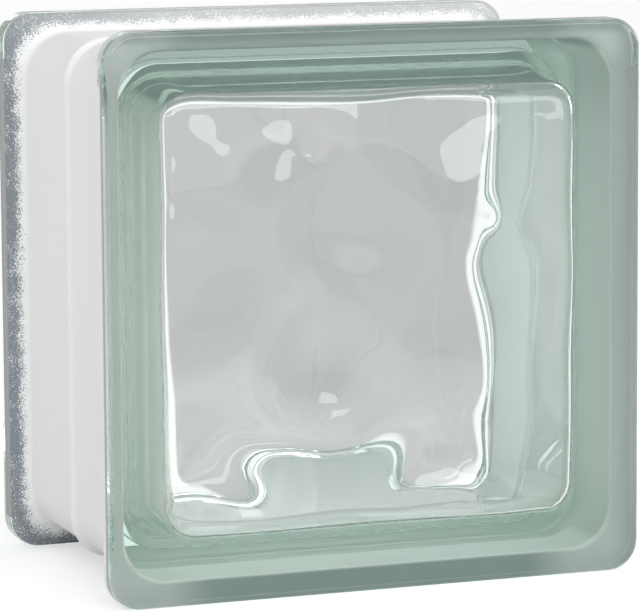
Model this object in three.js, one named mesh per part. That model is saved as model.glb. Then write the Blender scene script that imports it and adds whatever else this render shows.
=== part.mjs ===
// A hollow glass block for walls: two pressed glass dishes fused rim to rim round a sealed
// air space, with a white coating in the mortar channel that runs round the block's edge.
// Millimetres. X is the width, Y the depth (the front face looks towards -Y), Z is up from
// the level that the block stands on, and the fused seam lies in the plane Y = 0.
import * as THREE from "three";

// Overall size: a square face, and the depth from face to face.
const FACE_SIDE = 146;
const BLOCK_DEPTH = 98;

// The flange round each face, and the channel for the mortar between the two flanges.
const FLANGE_THICKNESS = 7.6;
const FLANGE_CORNER_RADIUS = 8;
const FACE_EDGE_RADIUS = 1.6;
const FLANGE_BACK_RADIUS = 1.2;
const CHANNEL_RECESS = 5.5;
const CHANNEL_SLOPE_RUN = 3;
const CHANNEL_FOOT_RADIUS = 1.5;
const CHANNEL_CORNER_RADIUS = 12;

// The seam: the bead that the fusing squeezes out of it on the outside, and the notch that
// the rounded inner edges of the two rims leave on the inside.
const SEAM_BEAD_HEIGHT = 0.9;
const SEAM_BEAD_HALF_WIDTH = 2.2;
const SEAM_NOTCH_DEPTH = 4.1;
const SEAM_NOTCH_HALF_WIDTH = 2.5;

// The dish: the cavity's drafted wall, by its distance in from the flange at the mouth of
// the notch and at the fillet, the corner at the fillet, and the flattened fillet itself.
const WALL_START_INSET = 13;
const WALL_END_INSET = 16;
const WALL_CORNER_RADIUS = 8;
const FACE_THICKNESS = 7.6;
const FACE_FILLET_RUN = 5;
const FACE_FILLET_RISE = 2.8;

// The waves pressed into the inside of each face: straight-crested swells that cross one
// another. Each has the height of its crests, its length from crest to crest, the turn from X
// in which it runs, and its shift at the middle of the face, in degrees of one whole wave.
const SWELLS = [
  { height: 1.45, length: 74.1, turn: 169.8, shift: 150 },
  { height: 1.05, length: 40.4, turn: 93.4, shift: 21 },
  { height: 0.96, length: 37.7, turn: 93.6, shift: 200 },
  { height: 0.36, length: 41, turn: 153, shift: 21 },
  { height: 0.29, length: 34, turn: 113.5, shift: 165 },
  { height: 0.23, length: 31, turn: 39, shift: 323 },
  { height: 0.22, length: 35.1, turn: 61.5, shift: 277 },
];

// The sprayed coating, and the hair's breadth that keeps it off the glass.
const COATING_THICKNESS = 0.35;
const COATING_CLEARANCE = 0.05;
const COATING_LAP = 0.8;

// How finely the curves are divided.
const CORNER_STEPS = 8;
const WINDOW_CORNER_STEPS = 5;
const WINDOW_SIDE_STEPS = 20;
const WINDOW_RINGS = 13;
const ROUND_STEPS = 3;
const FILLET_STEPS = 4;
const BEAD_STEPS = 4;
const NOTCH_STEPS = 5;

const HALF_SIDE = FACE_SIDE / 2;
const HALF_DEPTH = BLOCK_DEPTH / 2;
const FLANGE_BACK = HALF_DEPTH - FLANGE_THICKNESS;
const CHANNEL_EDGE = FLANGE_BACK - CHANNEL_SLOPE_RUN;
const CAVITY_DEPTH = HALF_DEPTH - FACE_THICKNESS;
const FILLET_START = CAVITY_DEPTH - FACE_FILLET_RISE;
const WINDOW_INSET = WALL_END_INSET + FACE_FILLET_RUN;
const WINDOW_CORNER_RADIUS = WALL_CORNER_RADIUS - FACE_FILLET_RUN;
const WALL_LEAN = (WALL_END_INSET - WALL_START_INSET) / (FILLET_START - SEAM_NOTCH_HALF_WIDTH);

// One ring of points round the block, parallel to its faces: a square with rounded corners.
// The inset is the distance in from the flange, and the depth is measured from the seam.
function roundedSquare({ inset, depth, cornerRadius }, cornerSteps, sideSteps) {
  const reach = HALF_SIDE - inset - cornerRadius;
  const ring = [];
  for (let corner = 0; corner < 4; corner += 1) {
    const start = (corner * Math.PI) / 2;
    const centre = new THREE.Vector2(reach, reach).rotateAround(new THREE.Vector2(), start);
    for (let step = 0; step <= cornerSteps; step += 1) {
      const angle = start + (step / cornerSteps) * (Math.PI / 2);
      const x = centre.x + cornerRadius * Math.cos(angle);
      const z = centre.y + cornerRadius * Math.sin(angle);
      ring.push(new THREE.Vector3(x, -depth, z));
    }
    const along = new THREE.Vector2(0, 1).rotateAround(new THREE.Vector2(), start);
    const from = ring.at(-1);
    for (let step = 1; step < sideSteps; step += 1) {
      const run = (2 * reach * step) / sideSteps;
      ring.push(new THREE.Vector3(from.x - run * along.y, -depth, from.z + run * along.x));
    }
  }
  return ring;
}

// The height of one swell at a point of the face.
function swellHeight(x, z, { height, length, turn, shift }) {
  const direction = THREE.MathUtils.degToRad(turn);
  const along = x * Math.cos(direction) + z * Math.sin(direction);
  return height * Math.sin((2 * Math.PI * along) / length + THREE.MathUtils.degToRad(shift));
}

// The pressed waves: how far the inside of the face stands towards the cavity.
function waveRelief(x, z) {
  return SWELLS.reduce((total, swell) => total + swellHeight(x, z, swell), 0);
}

// The bulge of the outer bead at a distance from the seam: a rounded hump that ends level.
function seamBead(depth) {
  const share = Math.min(depth / SEAM_BEAD_HALF_WIDTH, 1);
  return (SEAM_BEAD_HEIGHT * (1 + Math.cos(Math.PI * share))) / 2;
}

// The outside of a dish in section, from the seam to the face, as points of inset and depth.
function outsideSection() {
  const path = new THREE.Path();
  path.moveTo(CHANNEL_RECESS, SEAM_BEAD_HALF_WIDTH);
  path.lineTo(CHANNEL_RECESS, CHANNEL_EDGE - CHANNEL_FOOT_RADIUS);
  const slope = new THREE.Vector2(-CHANNEL_RECESS, CHANNEL_SLOPE_RUN).normalize();
  const foot = slope.clone().multiplyScalar(CHANNEL_FOOT_RADIUS);
  const lip = slope.clone().multiplyScalar(-FLANGE_BACK_RADIUS);
  path.quadraticCurveTo(
    CHANNEL_RECESS,
    CHANNEL_EDGE,
    CHANNEL_RECESS + foot.x,
    CHANNEL_EDGE + foot.y,
  );
  path.lineTo(lip.x, FLANGE_BACK + lip.y);
  path.quadraticCurveTo(0, FLANGE_BACK, 0, FLANGE_BACK + FLANGE_BACK_RADIUS);
  path.lineTo(0, HALF_DEPTH - FACE_EDGE_RADIUS);
  path.absarc(
    FACE_EDGE_RADIUS,
    HALF_DEPTH - FACE_EDGE_RADIUS,
    FACE_EDGE_RADIUS,
    Math.PI,
    Math.PI / 2,
    true,
  );
  const bead = Array.from({ length: BEAD_STEPS }, (_, step) => {
    const depth = (SEAM_BEAD_HALF_WIDTH * step) / BEAD_STEPS;
    return new THREE.Vector2(CHANNEL_RECESS - seamBead(depth), depth);
  });
  return bead.concat(path.getPoints(ROUND_STEPS));
}

// The plan corners grow from the flange's small radius to the channel's large one, and
// shrink again with the rounding of the face's edge.
function outsideCornerRadius(inset, depth) {
  if (depth > FLANGE_BACK) {
    return FLANGE_CORNER_RADIUS - inset;
  }
  const share = inset / CHANNEL_RECESS;
  return THREE.MathUtils.lerp(FLANGE_CORNER_RADIUS, CHANNEL_CORNER_RADIUS, share);
}

function outsideRings() {
  return outsideSection().map(({ x: inset, y: depth }) =>
    roundedSquare(
      { inset, depth, cornerRadius: outsideCornerRadius(inset, depth) },
      CORNER_STEPS,
      1,
    ),
  );
}

// One ring of the cavity's inside. All its corners share one centre line, so their radius
// grows as the ring nears the flange.
function insideRing(inset, depth) {
  return roundedSquare(
    { inset, depth, cornerRadius: WALL_CORNER_RADIUS + WALL_END_INSET - inset },
    WINDOW_CORNER_STEPS,
    WINDOW_SIDE_STEPS,
  );
}

// Moves a ring with the waves. The wall widens towards the seam, so that a ring which has to
// stay on it spreads with its lean as the waves lift it.
function rideOnWaves(ring, lean) {
  ring.forEach((point) => {
    const relief = waveRelief(point.x, point.z);
    const spread = 1 + (relief * lean) / (HALF_SIDE - WALL_END_INSET);
    point.set(point.x * spread, point.y + relief, point.z * spread);
  });
  return ring;
}

// The inside from the seam to the fillet: the rounded edge of the rim, a quarter of an
// ellipse that starts level with the seam, and the drafted wall up to where the waves lift it.
function wallRings() {
  const rings = [];
  for (let step = 0; step <= NOTCH_STEPS; step += 1) {
    const angle = ((step / NOTCH_STEPS) * Math.PI) / 2;
    const depth = SEAM_NOTCH_HALF_WIDTH * (1 - Math.cos(angle));
    const inset = WALL_START_INSET - SEAM_NOTCH_DEPTH * (1 - Math.sin(angle));
    rings.push(insideRing(inset, depth));
  }
  rings.push(rideOnWaves(insideRing(WALL_END_INSET, FILLET_START), WALL_LEAN));
  return rings;
}

// The fillet between the wall and the window: a quarter of a flat ellipse, riding on the waves.
function filletRings() {
  const rings = [];
  for (let step = 1; step <= FILLET_STEPS; step += 1) {
    const angle = ((step / FILLET_STEPS) * Math.PI) / 2;
    const inset = WALL_END_INSET + FACE_FILLET_RUN * (1 - Math.cos(angle));
    const depth = FILLET_START + FACE_FILLET_RISE * Math.sin(angle);
    rings.push(rideOnWaves(insideRing(inset, depth), WALL_LEAN));
  }
  return rings;
}

// The wavy window, as rings that shrink towards the middle of the face.
function windowRings() {
  const windowReach = HALF_SIDE - WINDOW_INSET;
  const rings = [];
  for (let step = 1; step < WINDOW_RINGS; step += 1) {
    const share = 1 - step / WINDOW_RINGS;
    const ring = roundedSquare(
      {
        inset: HALF_SIDE - windowReach * share,
        depth: CAVITY_DEPTH,
        cornerRadius: WINDOW_CORNER_RADIUS * share,
      },
      WINDOW_CORNER_STEPS,
      WINDOW_SIDE_STEPS,
    );
    rings.push(rideOnWaves(ring, 0));
  }
  return rings;
}

// A surface gathered ring by ring, to be closed into one solid.
class RingSurface {
  constructor() {
    this.points = [];
    this.triangles = [];
  }

  addRing(ring) {
    const first = this.points.length;
    this.points.push(...ring);
    return ring.map((_, index) => first + index);
  }

  // Two rows of triangles between rings with the same number of points.
  joinRings(near, far) {
    near.forEach((_, index) => {
      const next = (index + 1) % near.length;
      this.triangles.push(near[index], near[next], far[index]);
      this.triangles.push(near[next], far[next], far[index]);
    });
  }

  joinAll(rings) {
    const indexed = rings.map((ring) => this.addRing(ring));
    indexed.slice(1).forEach((ring, index) => this.joinRings(indexed[index], ring));
    return indexed;
  }

  // A fan from the last ring to one point in its middle.
  closeWithPoint(ring, middle) {
    const [apex] = this.addRing([middle]);
    ring.forEach((point, index) => {
      this.triangles.push(point, ring[(index + 1) % ring.length], apex);
    });
  }

  // The flat rim between an outer ring and an inner one, which face the seam.
  closeWithRim(outer, inner) {
    const flat = (ring) => ring.map((index) => this.points[index]);
    const contour = flat(outer).map(({ x, z }) => new THREE.Vector2(x, z));
    const hole = flat(inner).map(({ x, z }) => new THREE.Vector2(x, z));
    const indices = outer.concat(inner);
    THREE.ShapeUtils.triangulateShape(contour, [hole]).forEach((corners) => {
      this.triangles.push(...corners.map((corner) => indices[corner]).reverse());
    });
  }

  toGeometry() {
    const geometry = new THREE.BufferGeometry().setFromPoints(this.points);
    geometry.setIndex(this.triangles);
    geometry.computeVertexNormals();
    return geometry;
  }
}

// One pressed dish with its face towards -Y and its open rim in the seam plane.
function dishGeometry() {
  const surface = new RingSurface();
  const outside = surface.joinAll(outsideRings());
  surface.closeWithPoint(outside.at(-1), new THREE.Vector3(0, -HALF_DEPTH, 0));
  const inside = surface.joinAll([...windowRings().reverse(), ...filletRings().reverse(),
    ...wallRings().reverse()]);
  const middle = new THREE.Vector3(0, -CAVITY_DEPTH + waveRelief(0, 0), 0);
  surface.closeWithPoint([...inside[0]].reverse(), middle);
  surface.closeWithRim(outside[0], inside.at(-1));
  return surface.toGeometry();
}

// The coating: a thin band that follows the channel from flange to flange all round.
function coatingGeometry() {
  const lapDepth = FLANGE_BACK - COATING_LAP;
  const half = outsideSection().filter(({ y: depth }) => depth < lapDepth);
  const section = [...half.slice(1).reverse().map(({ x, y }) => new THREE.Vector2(x, -y)), ...half];
  const skin = (offset) =>
    section.map(({ x: inset, y: depth }) =>
      roundedSquare(
        {
          inset: inset - offset,
          depth,
          cornerRadius: outsideCornerRadius(inset, Math.abs(depth)) + offset,
        },
        CORNER_STEPS,
        1,
      ),
    );
  const surface = new RingSurface();
  const outer = skin(COATING_CLEARANCE + COATING_THICKNESS);
  const inner = skin(COATING_CLEARANCE).reverse();
  const loop = surface.joinAll([...outer, ...inner]);
  surface.joinRings(loop.at(-1), loop[0]);
  return surface.toGeometry();
}

const glass = () =>
  new THREE.MeshStandardMaterial({ color: 0xb4c8be, roughness: 0.05, metalness: 0 });
const paint = new THREE.MeshStandardMaterial({ color: 0xf2f3f2, roughness: 0.75, metalness: 0 });

const block = new THREE.Group();
block.name = "glass_block";
block.position.z = HALF_SIDE;

const frontShell = new THREE.Mesh(dishGeometry(), glass());
frontShell.name = "front_shell";

const backShell = new THREE.Mesh(dishGeometry(), glass());
backShell.name = "back_shell";
backShell.rotation.z = Math.PI;

const edgeCoating = new THREE.Mesh(coatingGeometry(), paint);
edgeCoating.name = "edge_coating";

block.add(frontShell, backShell, edgeCoating);

export default block;
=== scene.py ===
"""The looks of a hollow glass block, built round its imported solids.

Metres, in the frame of the solids: X is the width, Y the depth with the front face towards
-Y, and Z is up from the level that the block stands on. The two pressed dishes are one
fused body of glass here, with the sealed air space as its inner skin.
"""

from __future__ import annotations

import logging
from dataclasses import dataclass, field
from enum import Enum

import bpy
import numpy as np
from mathutils import Matrix


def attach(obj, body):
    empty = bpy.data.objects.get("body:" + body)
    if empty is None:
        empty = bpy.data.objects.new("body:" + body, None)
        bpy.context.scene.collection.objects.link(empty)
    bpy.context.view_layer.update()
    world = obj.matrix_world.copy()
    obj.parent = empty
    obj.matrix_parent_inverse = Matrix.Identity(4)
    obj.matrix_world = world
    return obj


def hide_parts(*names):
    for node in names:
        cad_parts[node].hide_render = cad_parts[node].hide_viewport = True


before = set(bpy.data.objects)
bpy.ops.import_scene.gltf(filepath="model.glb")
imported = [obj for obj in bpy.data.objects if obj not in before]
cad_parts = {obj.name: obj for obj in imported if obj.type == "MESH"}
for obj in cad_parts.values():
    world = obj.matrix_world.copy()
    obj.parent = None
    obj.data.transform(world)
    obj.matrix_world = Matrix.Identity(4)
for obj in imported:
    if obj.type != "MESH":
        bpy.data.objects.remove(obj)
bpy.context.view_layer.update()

LOG = logging.getLogger("glass_block")
MM = 0.001
BLOCK_MIDDLE = (0.0, 0.0, 0.073)

Colour = tuple[float, float, float]
Span = tuple[float, float]
Tree = bpy.types.ShaderNodeTree
Socket = bpy.types.NodeSocket


class Side(Enum):
    """Which half of the block, as the sign of its depth along Y."""

    FRONT = -1.0
    BACK = 1.0


# ---------------------------------------------------------------------------
# Shapes as whole arrays
# ---------------------------------------------------------------------------


@dataclass(frozen=True)
class Swell:
    """One straight-crested swell of the waves pressed into a face.

    Its height varies as the sine of the distance across its crests. Turn and shift are in
    degrees: the direction that the swell runs in, from X, and its part of a wave at the
    middle of the face.
    """

    height: float
    length: float
    turn: float
    shift: float

    def relief(self, x: np.ndarray, z: np.ndarray) -> np.ndarray:
        """The height of the swell at points of the face.

        Args:
            x: Distances from the middle of the face along its width.
            z: Heights from the middle of the face.

        Returns:
            The heights, in the shape of x and z.
        """
        turn = np.radians(self.turn)
        across = x * np.cos(turn) + z * np.sin(turn)
        return self.height * np.sin(2 * np.pi * across / self.length + np.radians(self.shift))


@dataclass(frozen=True)
class Dimple:
    """One gentle round rise or dip between the swells: a bell curve about its own middle."""

    height: float
    x: float
    z: float
    spread: float

    def relief(self, x: np.ndarray, z: np.ndarray) -> np.ndarray:
        """The height of the dimple at points of the face."""
        away = ((x - self.x) ** 2 + (z - self.z) ** 2) / self.spread**2
        return self.height * np.exp(-away / 2)


# Height and length in millimetres, turn and shift in degrees.
SWELL_ROWS = (
    (1.449, 74.1, 169.80, 150.06),
    (1.047, 40.4, 93.45, 21.03),
    (0.959, 37.7, 93.55, 199.61),
    (0.358, 41.0, 153.04, 20.84),
    (0.290, 34.0, 113.54, 164.58),
    (0.234, 31.0, 39.03, 323.35),
    (0.225, 35.1, 61.49, 277.25),
)

# Height, x, z and spread in millimetres.
DIMPLE_ROWS = (
    (-0.81, 40.6, 25.5, 6.5),
    (-0.82, -2.7, -34.1, 7.0),
    (0.66, -49.6, -5.7, 6.7),
    (-0.81, 37.6, 21.0, 3.6),
    (0.91, -46.8, 54.1, 3.7),
    (0.70, -30.8, 36.3, 6.0),
    (0.81, -7.9, 44.7, 11.0),
    (0.83, 26.7, 57.1, 8.2),
    (-0.58, 15.9, -47.6, 3.6),
    (0.71, -35.3, -40.0, 6.1),
    (-0.43, -25.8, -32.8, 5.7),
    (0.31, 15.8, -16.1, 7.7),
    (0.58, -14.9, 42.6, 4.1),
    (0.80, 33.2, -51.0, 4.0),
    (-0.34, 32.8, -23.2, 4.5),
    (-0.41, 16.3, -40.6, 2.9),
    (0.21, 25.0, 15.9, 3.2),
    (0.31, 26.4, -45.4, 2.5),
    (0.18, 9.3, -26.6, 4.0),
    (0.05, 36.9, -42.8, 10.9),
    (0.62, 24.1, -54.1, 3.0),
    (-0.30, 33.2, 21.6, 11.1),
    (-0.24, 33.3, -17.4, 5.5),
    (-0.09, -34.4, -39.1, 3.1),
)

WAVES = tuple(
    Swell(height * MM, length * MM, turn, shift) for height, length, turn, shift in SWELL_ROWS
) + tuple(
    Dimple(height * MM, x * MM, z * MM, spread * MM) for height, x, z, spread in DIMPLE_ROWS
)


def wave_relief(x: np.ndarray, z: np.ndarray, side: Side) -> np.ndarray:
    """How far the inside of a face stands towards the cavity: the sum of its waves.

    Args:
        x: Distances from the block's middle along its width.
        z: Heights from the block's middle.
        side: The face. The back one is the same pressing turned half round, so its waves
            run the other way in x.

    Returns:
        The reliefs, in the shape of x and z.
    """
    turned = -side.value * x
    return sum(wave.relief(turned, z) for wave in WAVES)


def straight(start: tuple, end: tuple, steps: int) -> np.ndarray:
    """Points in even steps along a line, without its end.

    Args:
        start: The first point.
        end: Where the line ends.
        steps: How many points.

    Returns:
        The points, one a row.
    """
    share = np.arange(steps)[:, None] / steps
    return (1 - share) * np.array(start) + share * np.array(end)


def bend(start: tuple, knee: tuple, end: tuple, steps: int) -> np.ndarray:
    """Points along a quadratic curve that rounds the knee off, without its end.

    Args:
        start: Where the curve leaves the first line.
        knee: Where the two lines would meet.
        end: Where the curve joins the second line.
        steps: How many points.

    Returns:
        The points (1-t)^2 start + 2t(1-t) knee + t^2 end, one a row.
    """
    share = np.arange(steps)[:, None] / steps
    first, middle, last = (np.array(point) for point in (start, knee, end))
    return (1 - share) ** 2 * first + 2 * share * (1 - share) * middle + share**2 * last


@dataclass(frozen=True)
class SquareRings:
    """Rings and grids of points on squares with rounded corners, parallel to the faces.

    A ring has eight equal runs of stations, each from the middle of a side to the middle
    of a corner. A grid fills a ring with smaller and smaller copies of it, so that its
    outermost points are the ring's.
    """

    half_side: int = 44
    half_corner: int = 9

    def stations(self) -> tuple[np.ndarray, np.ndarray]:
        """The side of each station, counted from +X, and its offset from the side's middle."""
        count = np.arange(8 * self.half_side)
        return count // (2 * self.half_side), count % (2 * self.half_side) - self.half_side

    def place(
        self, half: np.ndarray, radius: np.ndarray, side: np.ndarray, offset: np.ndarray
    ) -> tuple[np.ndarray, np.ndarray]:
        """Points on rounded squares.

        The first steps of an eighth run along the straight side in even steps, and the
        rest turn half of the corner in even angles. The side's own right and up are then
        turned to its place in the square.

        Args:
            half: Half the side of the square.
            radius: The radius of its corners.
            side: The side that each point is on, from 0 to 3, counted from +X towards +Z.
            offset: The point's steps from the middle of the side.

        Returns:
            The x and the z of the points.
        """
        flat_steps = self.half_side - self.half_corner
        steps = np.abs(offset)
        reach = half - radius
        angle = np.pi / 4 * np.clip((steps - flat_steps) / self.half_corner, 0, 1)
        way = np.sign(offset) * (
            reach * np.clip(steps / flat_steps, 0, 1) + radius * np.sin(angle)
        )
        out = reach + radius * np.cos(angle)
        turn = side * np.pi / 2
        return out * np.cos(turn) - way * np.sin(turn), out * np.sin(turn) + way * np.cos(turn)

    def rings(self, half: np.ndarray, radius: np.ndarray) -> tuple[np.ndarray, np.ndarray]:
        """Whole rings.

        Args:
            half: Half the side of each ring.
            radius: The radius of each ring's corners.

        Returns:
            The x and the z of the points, one ring a row.
        """
        side, offset = self.stations()
        return self.place(half[:, None], radius[:, None], side[None], offset[None])

    def grid(self, half: float, radius: float) -> tuple[np.ndarray, np.ndarray]:
        """A grid inside one ring.

        Args:
            half: Half the side of the ring.
            radius: The radius of its corners.

        Returns:
            The x and the z of the points, as square arrays.
        """
        steps = np.arange(-self.half_side, self.half_side + 1)
        column, row = np.meshgrid(steps, steps, indexing="ij")
        size = np.maximum(np.abs(column), np.abs(row))
        upright = np.abs(column) >= np.abs(row)
        side = np.where(upright, np.where(column >= 0, 0, 2), np.where(row >= 0, 1, 3))
        way = np.choose(side, (row, -column, -row, column))
        offset = way * self.half_side / np.maximum(size, 1)
        share = size / self.half_side
        x, z = self.place(half, radius, side, offset)
        return x * share, z * share

    def border(self) -> np.ndarray:
        """Finds the ring's stations in the grid that the ring goes round.

        Returns:
            The place of each station in the flattened grid.
        """
        side, offset = self.stations()
        edge = self.half_side
        column = np.choose(side, (edge, -offset, -edge, offset)) + edge
        row = np.choose(side, (offset, edge, -offset, -edge)) + edge
        return column * (2 * edge + 1) + row

    def closed_skin(
        self, front: np.ndarray, rings: np.ndarray, back: np.ndarray
    ) -> tuple[np.ndarray, np.ndarray]:
        """Joins a front grid, rings and a back grid into one skin that faces out.

        Args:
            front: The points of the grid nearest -Y, flattened.
            rings: The rings between the grids, from the front to the back.
            back: The points of the grid nearest +Y, flattened.

        Returns:
            The points, and the four corners of each face.
        """
        span = 2 * self.half_side + 1
        low = (np.arange(span - 1)[:, None] * span + np.arange(span - 1)).ravel()
        cells = np.stack([low, low + span, low + span + 1, low + 1], 1)
        count = rings.shape[1]
        ring_start = len(front) + count * np.arange(len(rings))[:, None]
        back_start = len(front) + rings.shape[0] * count
        loops = np.concatenate(
            [self.border()[None], ring_start + np.arange(count), back_start + self.border()[None]]
        )
        after = np.roll(loops, -1, axis=1)
        band = np.stack([loops[:-1], loops[1:], after[1:], after[:-1]], -1).reshape(-1, 4)
        points = np.concatenate([front, rings.reshape(-1, 3), back])
        return points, np.concatenate([cells, band, back_start + cells[:, ::-1]])


def make_piece(name: str, points: np.ndarray, quads: np.ndarray) -> bpy.types.Object:
    """Makes a smooth mesh object with its place in its mesh.

    Args:
        name: The name of the piece.
        points: The points, one a row.
        quads: The corners of each face, one face a row.

    Returns:
        The new object, in the scene.
    """
    mesh = bpy.data.meshes.new(name)
    mesh.vertices.add(len(points))
    mesh.vertices.foreach_set("co", points.astype(np.float32).ravel())
    mesh.loops.add(quads.size)
    mesh.loops.foreach_set("vertex_index", quads.astype(np.int32).ravel())
    mesh.polygons.add(len(quads))
    mesh.polygons.foreach_set("loop_start", np.arange(0, quads.size, 4, dtype=np.int32))
    mesh.polygons.foreach_set("use_smooth", np.ones(len(quads), dtype=bool))
    mesh.update(calc_edges=True)
    mesh.validate()
    piece = bpy.data.objects.new(name, mesh)
    bpy.context.scene.collection.objects.link(piece)
    return piece


# ---------------------------------------------------------------------------
# Finishes
# ---------------------------------------------------------------------------


BROAD_OCTAVES = 2.0
FINE_OCTAVES = 4.0


def new_material(name: str) -> tuple[bpy.types.Material, Tree]:
    """Makes a material with an empty node tree.

    Args:
        name: The name of the material.

    Returns:
        The material, and its tree.
    """
    material = bpy.data.materials.new(name)
    material.use_nodes = True
    material.node_tree.nodes.clear()
    return material, material.node_tree


def feed(tree: Tree, entry: Socket, value: Socket | Colour | float) -> None:
    """Links a socket to an entry, or sets the entry to a plain colour or number.

    Args:
        tree: The node tree.
        entry: The input that is filled.
        value: The socket, colour or number that goes into it.
    """
    if isinstance(value, Socket):
        tree.links.new(value, entry)
    elif isinstance(value, tuple):
        entry.default_value = (*value, 1.0)
    else:
        entry.default_value = float(value)


def calculate(tree: Tree, operation: str, *values: Socket | float) -> Socket:
    """Puts a Math node into a tree.

    Args:
        tree: The node tree.
        operation: What the node does.
        values: What it works on, as sockets or plain numbers.

    Returns:
        The socket with the result.
    """
    node = tree.nodes.new("ShaderNodeMath")
    node.operation = operation
    for entry, value in zip(node.inputs, values):
        feed(tree, entry, value)
    return node.outputs[0]


def overlap(tree: Tree, first: Socket, second: Socket) -> Socket:
    """What two masks share: their product."""
    return calculate(tree, "MULTIPLY", first, second)


def find_place(tree: Tree) -> Socket:
    """The position on a piece, in its own coordinates."""
    return tree.nodes.new("ShaderNodeTexCoord").outputs["Object"]


@dataclass(frozen=True)
class Place:
    """The parts of a position, as sockets."""

    x: Socket
    y: Socket
    z: Socket

    @classmethod
    def split(cls, tree: Tree, whole: Socket) -> Place:
        """Takes a position apart.

        Args:
            tree: The material's node tree.
            whole: The socket with the position.

        Returns:
            Its parts.
        """
        parts = tree.nodes.new("ShaderNodeSeparateXYZ")
        tree.links.new(whole, parts.inputs[0])
        return cls(*parts.outputs)


def ramp(
    tree: Tree, source: Socket, span: Span, limits: Span = (0.0, 1.0), way: str = "LINEAR"
) -> Socket:
    """A value that goes from one limit to the other as the source crosses a span.

    Args:
        tree: The material's node tree.
        source: The socket that is measured.
        span: The source's values where the ramp starts and ends, in either order.
        limits: The ramp's own values there.
        way: How it goes between them.

    Returns:
        The socket with the value.
    """
    node = tree.nodes.new("ShaderNodeMapRange")
    node.interpolation_type = way
    names = ("Value", "From Min", "From Max", "To Min", "To Max")
    for name, value in zip(names, (source, *span, *limits)):
        feed(tree, node.inputs[name], value)
    return node.outputs["Result"]


def mix_colours(
    tree: Tree, factor: Socket, first: Socket | Colour, second: Socket | Colour
) -> Socket:
    """Mixes two colours, each a socket or a plain one.

    Args:
        tree: The material's node tree.
        factor: The share of the second colour.
        first: The colour where the factor is nought.
        second: The colour where it is one.

    Returns:
        The socket with the colour.
    """
    node = tree.nodes.new("ShaderNodeMix")
    node.data_type = "RGBA"
    for name, value in (("Factor", factor), ("A", first), ("B", second)):
        feed(tree, node.inputs[name], value)
    return node.outputs["Result"]


def grain_group() -> Tree:
    """The node group for an uneven surface: two sizes of noise, mixed into one height.

    Its inputs are the position, the scale of the broad noise, how many times finer the
    fine noise is, and the fine noise's share.

    Returns:
        The group, made on the first call and shared from then on.
    """
    name = "uneven_surface"
    if name in bpy.data.node_groups:
        return bpy.data.node_groups[name]
    group = bpy.data.node_groups.new(name, "ShaderNodeTree")
    sockets = (
        ("Position", "INPUT", "NodeSocketVector"),
        ("Scale", "INPUT", "NodeSocketFloat"),
        ("Fineness", "INPUT", "NodeSocketFloat"),
        ("Fine Share", "INPUT", "NodeSocketFloat"),
        ("Height", "OUTPUT", "NodeSocketFloat"),
    )
    for socket, way, kind in sockets:
        group.interface.new_socket(socket, in_out=way, socket_type=kind)
    entry = group.nodes.new("NodeGroupInput").outputs
    finer = calculate(group, "MULTIPLY", entry["Scale"], entry["Fineness"])
    blend = group.nodes.new("ShaderNodeMix")
    feed(group, blend.inputs["Factor"], entry["Fine Share"])
    octaves = (("A", entry["Scale"], BROAD_OCTAVES), ("B", finer, FINE_OCTAVES))
    for end, scale, detail in octaves:
        noise = group.nodes.new("ShaderNodeTexNoise")
        feed(group, noise.inputs["Vector"], entry["Position"])
        feed(group, noise.inputs["Scale"], scale)
        feed(group, noise.inputs["Detail"], detail)
        feed(group, blend.inputs[end], noise.outputs["Fac"])
    leave = group.nodes.new("NodeGroupOutput")
    feed(group, leave.inputs["Height"], blend.outputs["Result"])
    return group


def place_grain(
    tree: Tree, place: Socket, scale: float, fineness: float, fine_share: float
) -> Socket:
    """Puts the uneven-surface group into a material.

    Args:
        tree: The material's node tree.
        place: The position on the piece.
        scale: Waves of the broad noise in a metre.
        fineness: How many times finer the fine noise is.
        fine_share: The share of the fine noise in the height.

    Returns:
        The socket with the height, from nought to one.
    """
    grain = tree.nodes.new("ShaderNodeGroup")
    grain.node_tree = grain_group()
    names = ("Position", "Scale", "Fineness", "Fine Share")
    for name, value in zip(names, (place, scale, fineness, fine_share)):
        feed(tree, grain.inputs[name], value)
    return grain.outputs["Height"]


def emboss(
    tree: Tree, shader: bpy.types.ShaderNode, height: Socket, strength: float, depth: float
) -> None:
    """Lets a height stand out of a shader's surface.

    Args:
        tree: The material's node tree.
        shader: The shader's node.
        height: The socket with the height, from nought to one.
        strength: The strength of the effect.
        depth: How far apart nought and one are, in metres.
    """
    bump = tree.nodes.new("ShaderNodeBump")
    for name, value in (("Strength", strength), ("Distance", depth), ("Height", height)):
        feed(tree, bump.inputs[name], value)
    feed(tree, shader.inputs["Normal"], bump.outputs["Normal"])


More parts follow.
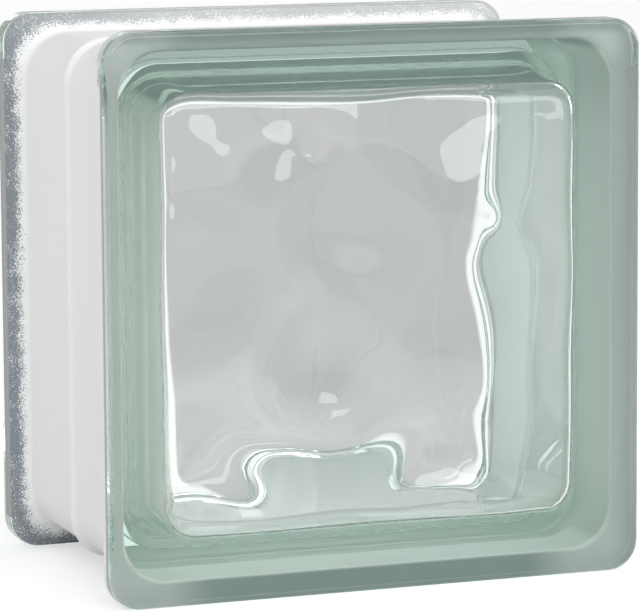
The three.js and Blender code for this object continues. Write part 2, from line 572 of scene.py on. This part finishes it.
@dataclass(frozen=True)
class GlassFinish:
    """Fire-polished pressed glass: clear, faintly uneven, and green in its thickness."""

    ior: float = 1.52
    tint: Colour = (0.125, 0.625, 0.45)
    density: float = 5.0
    ripples_per_metre: float = 70.0
    ripple_fineness: float = 4.0
    ripple_fine_share: float = 0.08
    ripple_depth: float = 0.02 * MM

    def material(self) -> bpy.types.Material:
        """Builds the glass: a clear shader over an absorbing volume.

        Returns:
            The material.
        """
        material, tree = new_material("fire_polished_glass")
        shader = tree.nodes.new("ShaderNodeBsdfPrincipled")
        shader.inputs["Base Color"].default_value = (1.0, 1.0, 1.0, 1.0)
        shader.inputs["Metallic"].default_value = 0.0
        shader.inputs["Roughness"].default_value = 0.0
        shader.inputs["IOR"].default_value = self.ior
        shader.inputs["Transmission Weight"].default_value = 1.0
        ripples = place_grain(
            tree,
            find_place(tree),
            self.ripples_per_metre,
            self.ripple_fineness,
            self.ripple_fine_share,
        )
        emboss(tree, shader, ripples, 1.0, self.ripple_depth)
        volume = tree.nodes.new("ShaderNodeVolumeAbsorption")
        volume.inputs["Color"].default_value = (*self.tint, 1.0)
        volume.inputs["Density"].default_value = self.density
        output = tree.nodes.new("ShaderNodeOutputMaterial")
        tree.links.new(shader.outputs["BSDF"], output.inputs["Surface"])
        tree.links.new(volume.outputs["Volume"], output.inputs["Volume"])
        return material


@dataclass(frozen=True)
class CoatingFinish:
    """Sprayed white coating: matte and pebbled, thinning out to specks and to a grey film.

    Its colour differs from place to place. Each span is the end of such a place: two
    values of a position, or of the distance from the seam, and the place's colour starts
    at the first and is full at the second.
    """

    white: Colour = (0.90, 0.905, 0.905)
    thin: Colour = (0.25, 0.285, 0.31)
    film: Colour = (0.44, 0.455, 0.45)
    thin_on_top: Colour = (0.53, 0.545, 0.55)
    film_on_top: Colour = (0.62, 0.63, 0.63)
    # Colours of the inner side, with light and shade painted in. They are greyer all over as
    # painted shade. There is painted shade on top, and painted light on the left, on the right's
    # back half and in a strip along the seam on top.
    lining_painted_shade: Colour = (0.76, 0.77, 0.755)
    lining_painted_shade_top: Colour = (0.42, 0.475, 0.455)
    lining_painted_light_left: Colour = (0.90, 0.85, 0.84)
    lining_painted_light_right: Colour = (0.95, 0.95, 0.94)
    lining_film: Colour = (0.72, 0.72, 0.71)
    lining_painted_light_seam: Colour = (0.95, 0.96, 0.95)
    # The slopes' inner colours are darker where the coat is thin. They also carry painted shade
    # that differs between the level, top and upright slopes.
    low_slope_thin_with_painted_shade: Colour = (0.28, 0.345, 0.325)
    top_slope_thin_with_painted_shade: Colour = (0.38, 0.43, 0.405)
    upright_slope_thin_with_painted_shade: Colour = (0.55, 0.57, 0.555)
    # A painted pool of light along the front of the underside.
    painted_light_pool: Colour = (0.97, 0.97, 0.96)
    top_height: Span = (137.0 * MM, 139.0 * MM)
    # Where the painted light on the left and on the right's back half sits.
    painted_light_left_side: Span = (-64.0 * MM, -66.0 * MM)
    painted_light_right_side: Span = (64.0 * MM, 66.0 * MM)
    painted_light_right_back: Span = (0.0 * MM, 4.0 * MM)
    # Where the painted pool of light sits.
    painted_light_pool_height: Span = (9.0 * MM, 7.0 * MM)
    painted_light_pool_back: Span = (-11.0 * MM, -13.0 * MM)
    slope_foot: Span = (38.0 * MM, 38.8 * MM)
    slope_left: Span = (-56.0 * MM, -44.0 * MM)
    slope_right: Span = (56.0 * MM, 44.0 * MM)
    # Where the painted light strip along the seam on top sits.
    painted_light_seam_strip: Span = (3.2 * MM, 2.2 * MM)
    rim: Span = (41.0 * MM, 41.8 * MM)
    front_lap: Span = (-41.2 * MM, -40.6 * MM)
    crown_height: Span = (136.0 * MM, 142.0 * MM)
    crown_reach: Span = (-78.0 * MM, -30.0 * MM)
    film_front: Span = (-43.9 * MM, -44.7 * MM)
    film_back: Span = (41.4 * MM, 42.2 * MM)
    film_top: Span = (138.5 * MM, 139.5 * MM)
    film_foot: Span = (9.5 * MM, 8.5 * MM)
    film_wander: float = 12.0 * MM
    speck_depth: Span = (38.2 * MM, 40.3 * MM)
    speck_cover: Span = (0.30, 0.60)
    speck_blur: Span = (-0.04, 0.04)
    specks_per_metre: float = 3000.0
    speck_share: float = 0.75
    pebbles_per_metre: float = 260.0
    pebble_strength: float = 0.4
    pebble_depth: float = 0.15 * MM
    roughness: float = 0.75
    skin_attribute: str = "outer_skin"

    def inside(self, tree: Tree, place: Place, depth: Socket) -> Socket:
        """The colour of the coating's side that wets the glass.

        It is greyer than the outer side, as painted shade, and its light and shade are painted in
        and differ from side to side. There is painted shade on top. There is painted light on the
        left, on the right's back half and in a strip along the seam on top. There is a painted
        pool of light along the front of the underside. The slopes are darker, where the coat is
        thin and with painted shade, and the rims show the thin film.

        Args:
            tree: The material's node tree.
            place: The position on the coating.
            depth: Its distance from the seam.

        Returns:
            The socket with the colour.
        """
        top = ramp(tree, place.z, self.top_height)
        # The slopes: darker where the coat is thin, with painted shade.
        slope = ramp(tree, depth, self.slope_foot)
        level = overlap(
            tree, ramp(tree, place.x, self.slope_left), ramp(tree, place.x, self.slope_right)
        )
        level_slope = overlap(tree, slope, level)
        # Painted light on the right's back half.
        painted_light_right_back = overlap(
            tree, ramp(tree, place.x, self.painted_light_right_side), ramp(tree, place.y, self.painted_light_right_back)
        )
        # Painted pool of light along the front of the underside.
        painted_light_pool = overlap(
            tree, ramp(tree, place.z, self.painted_light_pool_height), ramp(tree, place.y, self.painted_light_pool_back)
        )
        # Painted light and shade by side, the painted pool of light, the slopes and the rims'
        # film.
        layers = (
            (ramp(tree, place.x, self.painted_light_left_side), self.lining_painted_light_left),
            (painted_light_right_back, self.lining_painted_light_right),
            (top, self.lining_painted_shade_top),
            (overlap(tree, top, ramp(tree, depth, self.painted_light_seam_strip)), self.lining_painted_light_seam),
            (painted_light_pool, self.painted_light_pool),
            (slope, self.upright_slope_thin_with_painted_shade),
            (level_slope, self.low_slope_thin_with_painted_shade),
            (overlap(tree, level_slope, top), self.top_slope_thin_with_painted_shade),
            (ramp(tree, depth, self.rim), self.lining_film),
        )
        colour = self.lining_painted_shade
        for mask, layer in layers:
            colour = mix_colours(tree, mask, colour, layer)
        return colour

    def outside(self, tree: Tree, place: Place, depth: Socket, grain: Socket) -> Socket:
        """The colour of the coating's outer side: white, then specks, then film on the rims.

        The specks and the film are paler on the crown, along the top. White laps over the
        lip onto the front rim, with no specks there.

        Args:
            tree: The material's node tree.
            place: The position on the coating.
            depth: Its distance from the seam.
            grain: The height of the uneven surface, whose dips are the specks.

        Returns:
            The socket with the colour.
        """
        crown = overlap(
            tree, ramp(tree, place.z, self.crown_height), ramp(tree, place.x, self.crown_reach)
        )
        thinning = ramp(tree, depth, self.speck_depth, self.speck_cover)
        specks = overlap(
            tree,
            ramp(tree, calculate(tree, "SUBTRACT", thinning, grain), self.speck_blur),
            ramp(tree, place.y, self.front_lap),
        )
        front, back = (ramp(tree, place.y, span) for span in (self.film_front, self.film_back))
        thin = mix_colours(tree, crown, self.thin, self.thin_on_top)
        film = mix_colours(tree, crown, self.film, self.film_on_top)
        specked = mix_colours(tree, specks, self.white, thin)
        return mix_colours(tree, calculate(tree, "ADD", front, back), specked, film)

    def cover(self, tree: Tree, place: Place, depth: Socket, grain: Socket) -> Socket:
        """Where there is any coating: not near the top of the rims, nor at the back one's foot.

        Args:
            tree: The material's node tree.
            place: The position on the coating.
            depth: Its distance from the seam.
            grain: The height of the uneven surface, which lets the film's end wander.

        Returns:
            The socket with the cover, one where there is coating and nought where not.
        """
        wander = calculate(tree, "MULTIPLY_ADD", grain, self.film_wander, place.z)
        foot = overlap(tree, ramp(tree, place.z, self.film_foot), ramp(tree, place.y, self.rim))
        ends = calculate(tree, "MAXIMUM", ramp(tree, wander, self.film_top), foot)
        bare = overlap(tree, ramp(tree, depth, self.rim), ends)
        return calculate(tree, "SUBTRACT", 1.0, bare)

    def material(self) -> bpy.types.Material:
        """Builds the coating from its outer side, its inner side and its ends.

        Returns:
            The material.
        """
        material, tree = new_material("sprayed_coating")
        whole = find_place(tree)
        place = Place.split(tree, whole)
        depth = calculate(tree, "ABSOLUTE", place.y)
        fineness = self.specks_per_metre / self.pebbles_per_metre
        grain = place_grain(tree, whole, self.pebbles_per_metre, fineness, self.speck_share)
        skin = tree.nodes.new("ShaderNodeAttribute")
        skin.attribute_name = self.skin_attribute
        inside = self.inside(tree, place, depth)
        outside = self.outside(tree, place, depth, grain)
        colour = mix_colours(tree, skin.outputs["Fac"], inside, outside)
        shader = tree.nodes.new("ShaderNodeBsdfPrincipled")
        shader.inputs["Roughness"].default_value = self.roughness
        shader.inputs["Specular IOR Level"].default_value = 0.0
        tree.links.new(colour, shader.inputs["Base Color"])
        tree.links.new(self.cover(tree, place, depth, grain), shader.inputs["Alpha"])
        emboss(tree, shader, grain, self.pebble_strength, self.pebble_depth)
        output = tree.nodes.new("ShaderNodeOutputMaterial")
        tree.links.new(shader.outputs["BSDF"], output.inputs["Surface"])
        return material


@dataclass(frozen=True)
class BackdropFinish:
    """Pale matte paper, lifted to white for the camera and evened out behind the glass, where a
    glow paints shade on it.

    The lift and the glows are strengths of light. The reaches and the height are in metres
    from the block, and the turn and the spread of the wedge behind it in degrees.
    """

    paper: float = 0.80
    camera_lift: float = 0.40
    near_glass: float = 0.58
    behind_glass: float = 0.44
    far_lift: float = 0.08
    near_reach: Span = (0.12, 0.55)
    far_reach: Span = (1.5, 2.1)
    beside_glass: float = 1.15
    evenness: float = 0.85
    shade_turn: float = 20.0
    shade_spread: Span = (14.0, 26.0)
    shade_height: Span = (0.45, 0.80)

    def shade(self, tree: Tree) -> Socket:
        """The glow over the paper, in the directions from the block.

        It is painted shade: soft grey in the wedge of paper behind the block, which shows through
        it. The shade is deepest half way back, and paler close to the block and far behind it.
        The wedge is measured by its turn from +Y towards +X, and the paper beside and above it is
        pale.

        Args:
            tree: The material's node tree.

        Returns:
            The socket with the strength of the glow.
        """
        whole = find_place(tree)
        place = Place.split(tree, whole)
        turn = calculate(tree, "ARCTAN2", place.x, place.y)
        off = calculate(tree, "SUBTRACT", turn, np.radians(self.shade_turn))
        away = calculate(tree, "ABSOLUTE", off)
        length = tree.nodes.new("ShaderNodeVectorMath")
        length.operation = "LENGTH"
        tree.links.new(whole, length.inputs[0])
        reach = length.outputs["Value"]
        spread = np.radians(self.shade_spread)
        steps = (
            (reach, self.near_reach, (self.near_glass, self.behind_glass), "ADD"),
            (reach, self.far_reach, (0.0, self.far_lift), "ADD"),
            (away, spread, (0.0, self.beside_glass), "MAXIMUM"),
            (place.z, self.shade_height, (0.0, self.beside_glass), "MAXIMUM"),
        )
        glow = 0.0
        for source, span, limits, join in steps:
            glow = calculate(tree, join, ramp(tree, source, span, limits, "SMOOTHSTEP"), glow)
        return glow

    def material(self) -> bpy.types.Material:
        """Builds the paper: a matte shader, with plain glow mixed in on the glass's rays.

        Returns:
            The material.
        """
        material, tree = new_material("backdrop_paper")
        matte = tree.nodes.new("ShaderNodeBsdfDiffuse")
        matte.inputs["Color"].default_value = (self.paper, self.paper, self.paper, 1.0)
        path = tree.nodes.new("ShaderNodeLightPath").outputs
        through = calculate(tree, "MAXIMUM", path["Is Glossy Ray"], path["Is Transmission Ray"])
        even = tree.nodes.new("ShaderNodeEmission")
        tree.links.new(self.shade(tree), even.inputs["Strength"])
        behind = tree.nodes.new("ShaderNodeMixShader")
        tree.links.new(calculate(tree, "MULTIPLY", through, self.evenness), behind.inputs[0])
        tree.links.new(matte.outputs[0], behind.inputs[1])
        tree.links.new(even.outputs[0], behind.inputs[2])
        lift = calculate(tree, "MULTIPLY", path["Is Camera Ray"], self.camera_lift)
        glow = tree.nodes.new("ShaderNodeEmission")
        tree.links.new(lift, glow.inputs["Strength"])
        both = tree.nodes.new("ShaderNodeAddShader")
        tree.links.new(behind.outputs[0], both.inputs[0])
        tree.links.new(glow.outputs[0], both.inputs[1])
        output = tree.nodes.new("ShaderNodeOutputMaterial")
        tree.links.new(both.outputs[0], output.inputs["Surface"])
        return material


# ---------------------------------------------------------------------------
# The block
# ---------------------------------------------------------------------------


@dataclass(frozen=True)
class OutsideForm:
    """The outside of the block in section, and how its plan corners change with it.

    A section is rows of inset, the distance in from the flange's edge, and depth, the
    distance from the seam towards a face.
    """

    half_side: float = 72.96 * MM
    middle_height: float = 73.0 * MM
    half_depth: float = 49.0 * MM
    flange_back: float = 41.4 * MM
    flange_corner: float = 8.0 * MM
    face_edge: float = 1.6 * MM
    lip_edge: float = 1.2 * MM
    recess: float = 5.5 * MM
    slope_run: float = 3.0 * MM
    foot: float = 1.5 * MM
    channel_corner: float = 12.0 * MM
    bead_height: float = 0.9 * MM
    bead_half_width: float = 2.2 * MM
    bead_steps: int = 8
    channel_steps: int = 5
    foot_steps: int = 6
    slope_steps: int = 4
    lip_steps: int = 6
    rim_steps: int = 3
    edge_points: int = 9

    def bead(self, depth: np.ndarray) -> np.ndarray:
        """The bulge of the seam: half a cosine hump that ends level."""
        share = np.clip(depth / self.bead_half_width, 0, 1)
        return self.bead_height * (1 + np.cos(np.pi * share)) / 2

    def channel_section(self) -> np.ndarray:
        """The section from the seam up the channel's slope to the start of the lip's round.

        Returns:
            The inset and the depth of its points, one a row.
        """
        bead_depth = self.bead_half_width * np.arange(self.bead_steps) / self.bead_steps
        bead = np.stack([self.recess - self.bead(bead_depth), bead_depth], 1)
        edge = self.flange_back - self.slope_run
        slope = np.array([-self.recess, self.slope_run]) / np.hypot(self.recess, self.slope_run)
        foot_start = (self.recess, edge - self.foot)
        foot_end = (self.recess + self.foot * slope[0], edge + self.foot * slope[1])
        lip = (-self.lip_edge * slope[0], self.flange_back - self.lip_edge * slope[1])
        channel = straight((self.recess, self.bead_half_width), foot_start, self.channel_steps)
        foot = bend(foot_start, (self.recess, edge), foot_end, self.foot_steps)
        rise = straight(foot_end, lip, self.slope_steps)
        return np.concatenate([bead, channel, foot, rise, np.array([lip])])

    def coated_section(self) -> np.ndarray:
        """The section from the seam over the lip and along the rim to the face's round.

        Returns:
            The inset and the depth of its points, one a row.
        """
        channel = self.channel_section()
        round_end = (0.0, self.flange_back + self.lip_edge)
        lip = bend(tuple(channel[-1]), (0.0, self.flange_back), round_end, self.lip_steps)
        rim = straight(round_end, (0.0, self.half_depth - self.face_edge), self.rim_steps)
        return np.concatenate([channel[:-1], lip, rim])

    def section(self) -> np.ndarray:
        """The whole section, from the seam to the edge of the flat face.

        Returns:
            The inset and the depth of its points, one a row.
        """
        angle = np.linspace(0, np.pi / 2, self.edge_points)
        corner = np.stack(
            [
                self.face_edge * (1 - np.cos(angle)),
                self.half_depth - self.face_edge * (1 - np.sin(angle)),
            ],
            1,
        )
        return np.concatenate([self.coated_section(), corner])

    def corner_radius(self, inset: np.ndarray, depth: np.ndarray) -> np.ndarray:
        """The plan corner at each row of a section.

        Along the flange it is the flange's radius less the inset, and down the slope it
        grows in proportion to the inset, to the channel's larger radius.

        Args:
            inset: The insets of the rows.
            depth: Their distances from the seam.

        Returns:
            The radii.
        """
        share = inset / self.recess
        channel = (1 - share) * self.flange_corner + share * self.channel_corner
        return np.where(depth > self.flange_back, self.flange_corner - inset, channel)


@dataclass
class GlassBody:
    """The fused glass: the outside skin, and the skin of the sealed air space inside it."""

    form: OutsideForm = field(default_factory=OutsideForm)
    rings: SquareRings = field(default_factory=SquareRings)
    finish: GlassFinish = field(default_factory=GlassFinish)
    face_margin: float = 0.15 * MM
    mouth_inset: float = 13.0 * MM
    notch_depth: float = 4.1 * MM
    notch_half_width: float = 2.5 * MM
    wall_end: float = 16.0 * MM
    wall_corner: float = 8.0 * MM
    face_thickness: float = 7.6 * MM
    fillet_run: float = 5.0 * MM
    fillet_rise: float = 2.8 * MM
    fillet_points: int = 17
    notch_points: int = 15
    wall_steps: int = 12

    def outside_skin(self) -> tuple[np.ndarray, np.ndarray]:
        """The outside: the section carried round the rounded square, between flat faces.

        Returns:
            The points, and the four corners of each face.
        """
        inset, depth = self.form.section().T
        radius = self.form.corner_radius(inset, depth)
        x, z = self.rings.rings(self.form.half_side - inset, radius)
        y = np.broadcast_to(depth[:, None], x.shape)
        back = np.stack([x, y, z], -1)
        front = np.stack([x, -y, z], -1)[:0:-1]
        margin = self.form.face_edge + self.face_margin
        flat_x, flat_z = self.rings.grid(
            self.form.half_side - margin, self.form.flange_corner - margin
        )
        flat_y = np.full(flat_x.shape, self.form.half_depth)
        faces = [
            np.stack([flat_x, side.value * flat_y, flat_z], -1).reshape(-1, 3) for side in Side
        ]
        return self.rings.closed_skin(faces[0], np.concatenate([front, back]), faces[1])

    def cavity_half(self, side: Side) -> np.ndarray:
        """The rings of one half of the air space, from the window's edge to the seam.

        The fillet is a quarter of a flat ellipse that rides on the waves, and leans with the
        drafted wall so that its foot stays on it. At the seam the rounded edge of the rim,
        a quarter of an ellipse, dips into the notch. All the corners share one centre line.

        Args:
            side: Which half.

        Returns:
            The rings, with the seam's own ring last.
        """
        foot = self.form.half_depth - self.face_thickness - self.fillet_rise
        angle = np.linspace(np.pi / 2, 0, self.fillet_points)
        run_in = self.fillet_run * (1 - np.cos(angle))
        x, z = self.rings.rings(
            self.form.half_side - self.wall_end - run_in, self.wall_corner - run_in
        )
        lift = wave_relief(x, z, side)
        depth = (foot + self.fillet_rise * np.sin(angle))[:, None] - lift
        lean = (self.wall_end - self.mouth_inset) / (foot - self.notch_half_width)
        spread = 1 + lift * lean / (self.form.half_side - self.wall_end)
        fillet = np.stack([x * spread, side.value * depth, z * spread], -1)
        angle = np.linspace(0, np.pi / 2, self.notch_points)
        notch_depth = self.notch_half_width * (1 - np.sin(angle))
        inset = self.mouth_inset - self.notch_depth * (1 - np.cos(angle))
        x, z = self.rings.rings(
            self.form.half_side - inset, self.wall_corner + self.wall_end - inset
        )
        depth = np.broadcast_to(notch_depth[:, None], x.shape)
        notch = np.stack([x, side.value * depth, z], -1)
        share = (np.arange(1, self.wall_steps) / self.wall_steps)[:, None, None]
        wall = (1 - share) * fillet[-1] + share * notch[0]
        return np.concatenate([fillet[1:], wall, notch])

    def cavity_skin(self) -> tuple[np.ndarray, np.ndarray]:
        """The air space, turned so that it faces out of the glass, into the air.

        Returns:
            The points, and the four corners of each face.
        """
        floor = self.form.half_depth - self.face_thickness
        x, z = self.rings.grid(
            self.form.half_side - self.wall_end - self.fillet_run,
            self.wall_corner - self.fillet_run,
        )
        windows = [
            np.stack([x, side.value * (floor - wave_relief(x, z, side)), z], -1).reshape(-1, 3)
            for side in Side
        ]
        front = self.cavity_half(Side.FRONT)
        back = self.cavity_half(Side.BACK)[-2::-1]
        points, quads = self.rings.closed_skin(
            windows[0], np.concatenate([front, back]), windows[1]
        )
        return points, quads[:, ::-1]

    def build(self) -> bpy.types.Object:
        """Builds the two skins as one mesh, standing on the floor.

        Returns:
            The piece.
        """
        outside, outside_quads = self.outside_skin()
        cavity, cavity_quads = self.cavity_skin()
        points = np.concatenate([outside, cavity])
        points[:, 2] += self.form.middle_height
        quads = np.concatenate([outside_quads, cavity_quads + len(outside)])
        return make_piece("glass_body", points, quads)

    def dress(self, piece: bpy.types.Object) -> None:
        """Gives the glass its finish and ties it to the solids.

        Args:
            piece: The glass.
        """
        piece.data.materials.append(self.finish.material())
        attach(piece, "root")
        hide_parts("front_shell", "back_shell")


@dataclass
class EdgeCoating:
    """The white coating in the channel, and its thin overspray on the rims beside it.

    It wets the glass, with no air behind it.
    """

    form: OutsideForm = field(default_factory=OutsideForm)
    rings: SquareRings = field(default_factory=SquareRings)
    finish: CoatingFinish = field(default_factory=CoatingFinish)
    thickness: float = 0.35 * MM
    film: float = 0.04 * MM
    film_depth: Span = (39.0 * MM, 41.2 * MM)
    bite: float = 0.08 * MM

    def build(self) -> bpy.types.Object:
        """Builds the band: the section at two offsets, carried round and closed.

        The outer offset is the coat's thickness in the channel, and falls to the film's
        over the lip.

        Returns:
            The piece.
        """
        half = self.form.coated_section()
        section = np.concatenate([half[:0:-1] * (1, -1), half])
        inset, depth = section.T
        radius = self.form.corner_radius(inset, np.abs(depth))
        coat = np.interp(np.abs(depth), self.film_depth, (self.thickness, self.film))
        skins = []
        for offset in (coat, np.full_like(coat, -self.bite)):
            x, z = self.rings.rings(self.form.half_side - inset + offset, radius + offset)
            y = np.broadcast_to(depth[:, None], x.shape)
            skins.append(np.stack([x, y, z + self.form.middle_height], -1))
        loops = np.concatenate([skins[0], skins[1][::-1]])
        count, width = loops.shape[:2]
        index = np.arange(count * width).reshape(count, width)
        onward = np.roll(index, -1, axis=0)
        quads = np.stack(
            [index, onward, np.roll(onward, -1, axis=1), np.roll(index, -1, axis=1)], -1
        ).reshape(-1, 4)
        piece = make_piece("mortar_channel_coating", loops.reshape(-1, 3), quads)
        outer = np.repeat([1.0, 0.0], len(skins[0]) * width).astype(np.float32)
        skin = piece.data.attributes.new(self.finish.skin_attribute, "FLOAT", "POINT")
        skin.data.foreach_set("value", outer)
        return piece

    def dress(self, piece: bpy.types.Object) -> None:
        """Gives the coating its finish and ties it to the solid.

        Args:
            piece: The coating.
        """
        piece.data.materials.append(self.finish.material())
        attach(piece, "root")
        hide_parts("edge_coating")


# ---------------------------------------------------------------------------
# The studio
# ---------------------------------------------------------------------------


@dataclass(frozen=True)
class Lamp:
    """One soft square lamp that looks at the block."""

    name: str
    place: tuple[float, float, float]
    size: Span
    power: float
    roll: float = 0.0

    def hang(self) -> None:
        """Makes the lamp, turned towards the middle of the block and rolled in its own plane."""
        light = bpy.data.lights.new(self.name, "AREA")
        light.shape = "RECTANGLE"
        light.size, light.size_y = self.size
        light.energy = self.power
        lamp = bpy.data.objects.new(self.name, light)
        bpy.context.scene.collection.objects.link(lamp)
        aimed = facing(np.array(self.place), np.array(BLOCK_MIDDLE))
        lamp.matrix_world = aimed @ Matrix.Rotation(np.radians(self.roll), 4, "Z")


def facing(place: np.ndarray, target: np.ndarray) -> Matrix:
    """Turns a thing so that its own -Z points at a target and its X lies level.

    Args:
        place: Where the thing is.
        target: What it looks at.

    Returns:
        The thing's matrix.
    """
    back = (place - target) / np.linalg.norm(place - target)
    right = np.cross((0.0, 0.0, 1.0), back)
    right = right / np.linalg.norm(right)
    up = np.cross(back, right)
    matrix = np.eye(4)
    matrix[:3, 0], matrix[:3, 1], matrix[:3, 2], matrix[:3, 3] = right, up, back, place
    return Matrix(matrix.tolist())


@dataclass
class Studio:
    """Floor and backdrop in one sweep, soft light, and the camera."""

    paper: BackdropFinish = field(default_factory=BackdropFinish)
    half_width: float = 6.0
    floor_front: float = -5.0
    sweep_start: float = 2.2
    sweep_radius: float = 1.2
    wall_top: float = 4.5
    sweep_points: int = 25
    columns: int = 9
    world_light: float = 0.66
    lamps: tuple[Lamp, ...] = (
        Lamp("left_softbox", (-2.4, -0.5, 0.9), (1.4, 1.4), 8.0),
        Lamp("right_softbox", (2.2, -0.3, 1.0), (1.4, 1.4), 16.0),
        Lamp("front_softbox", (0.293, -2.08, 0.812), (2.8, 0.64), 24.0, -0.5),
    )
    camera_place: tuple[float, float, float] = (-0.3639, -0.9665, 0.2074)
    camera_pitch: float = 7.693
    camera_yaw: float = 20.728
    camera_roll: float = -0.363
    lens: float = 219.2
    sensor_width: float = 36.0
    bounces: int = 48
    glass_bounces: int = 32
    mirror_bounces: int = 24
    matte_bounces: int = 12

    def backdrop(self) -> bpy.types.Object:
        """The sweep: a floor, a quarter circle up from it, and a wall, carried along X.

        Returns:
            The sweep.
        """
        angle = np.linspace(0, np.pi / 2, self.sweep_points)
        curve_y = self.sweep_start + self.sweep_radius * np.sin(angle)
        curve_z = self.sweep_radius * (1 - np.cos(angle))
        y = np.concatenate([[self.floor_front], curve_y, curve_y[-1:]])
        z = np.concatenate([[0.0], curve_z, [self.wall_top]])
        x = np.linspace(-self.half_width, self.half_width, self.columns)
        grid = np.stack(
            [np.tile(x, (len(y), 1)), np.tile(y[:, None], len(x)), np.tile(z[:, None], len(x))],
            -1,
        )
        low = (np.arange(len(y) - 1)[:, None] * len(x) + np.arange(len(x) - 1)).ravel()
        quads = np.stack([low, low + 1, low + len(x) + 1, low + len(x)], 1)
        return make_piece("studio_sweep", grid.reshape(-1, 3), quads)

    def light(self) -> None:
        """Sets the even light all round, and hangs the lamps."""
        world = bpy.data.worlds.new("studio_air")
        world.use_nodes = True
        bpy.context.scene.world = world
        air = world.node_tree.nodes["Background"]
        air.inputs["Color"].default_value = (1.0, 1.0, 1.0, 1.0)
        air.inputs["Strength"].default_value = self.world_light
        for lamp in self.lamps:
            lamp.hang()

    def camera(self) -> None:
        """Sets the camera: yaw from +Y towards +X, pitch down, and roll about its own view."""
        pitch, yaw, roll = np.radians([self.camera_pitch, self.camera_yaw, self.camera_roll])
        ahead = np.array(
            [np.sin(yaw) * np.cos(pitch), np.cos(yaw) * np.cos(pitch), -np.sin(pitch)]
        )
        level = np.array([np.cos(yaw), -np.sin(yaw), 0.0])
        right = level * np.cos(roll) + np.cross(level, ahead) * np.sin(roll)
        matrix = np.eye(4)
        matrix[:3, 0] = right
        matrix[:3, 1] = np.cross(right, ahead)
        matrix[:3, 2] = -ahead
        matrix[:3, 3] = self.camera_place
        lens = bpy.data.cameras.new("studio_camera")
        lens.sensor_fit = "HORIZONTAL"
        lens.sensor_width = self.sensor_width
        lens.lens = self.lens
        camera = bpy.data.objects.new("studio_camera", lens)
        bpy.context.scene.collection.objects.link(camera)
        camera.matrix_world = Matrix(matrix.tolist())
        bpy.context.scene.camera = camera

    def set_up(self) -> None:
        """Builds the whole studio round the block."""
        sweep = self.backdrop()
        sweep.data.materials.append(self.paper.material())
        self.light()
        self.camera()
        scene = bpy.context.scene
        scene.view_settings.view_transform = "Standard"
        scene.cycles.max_bounces = self.bounces
        scene.cycles.transmission_bounces = self.glass_bounces
        scene.cycles.glossy_bounces = self.mirror_bounces
        scene.cycles.diffuse_bounces = self.matte_bounces
        scene.cycles.blur_glossy = 0.0


def main() -> None:
    logging.basicConfig(level=logging.INFO, format="%(name)s: %(message)s")
    for part in (GlassBody(), EdgeCoating()):
        piece = part.build()
        part.dress(piece)
        LOG.info("%s: %d faces", piece.name, len(piece.data.polygons))
    Studio().set_up()
    LOG.info("studio set up")


if __name__ == "__main__":
    main()
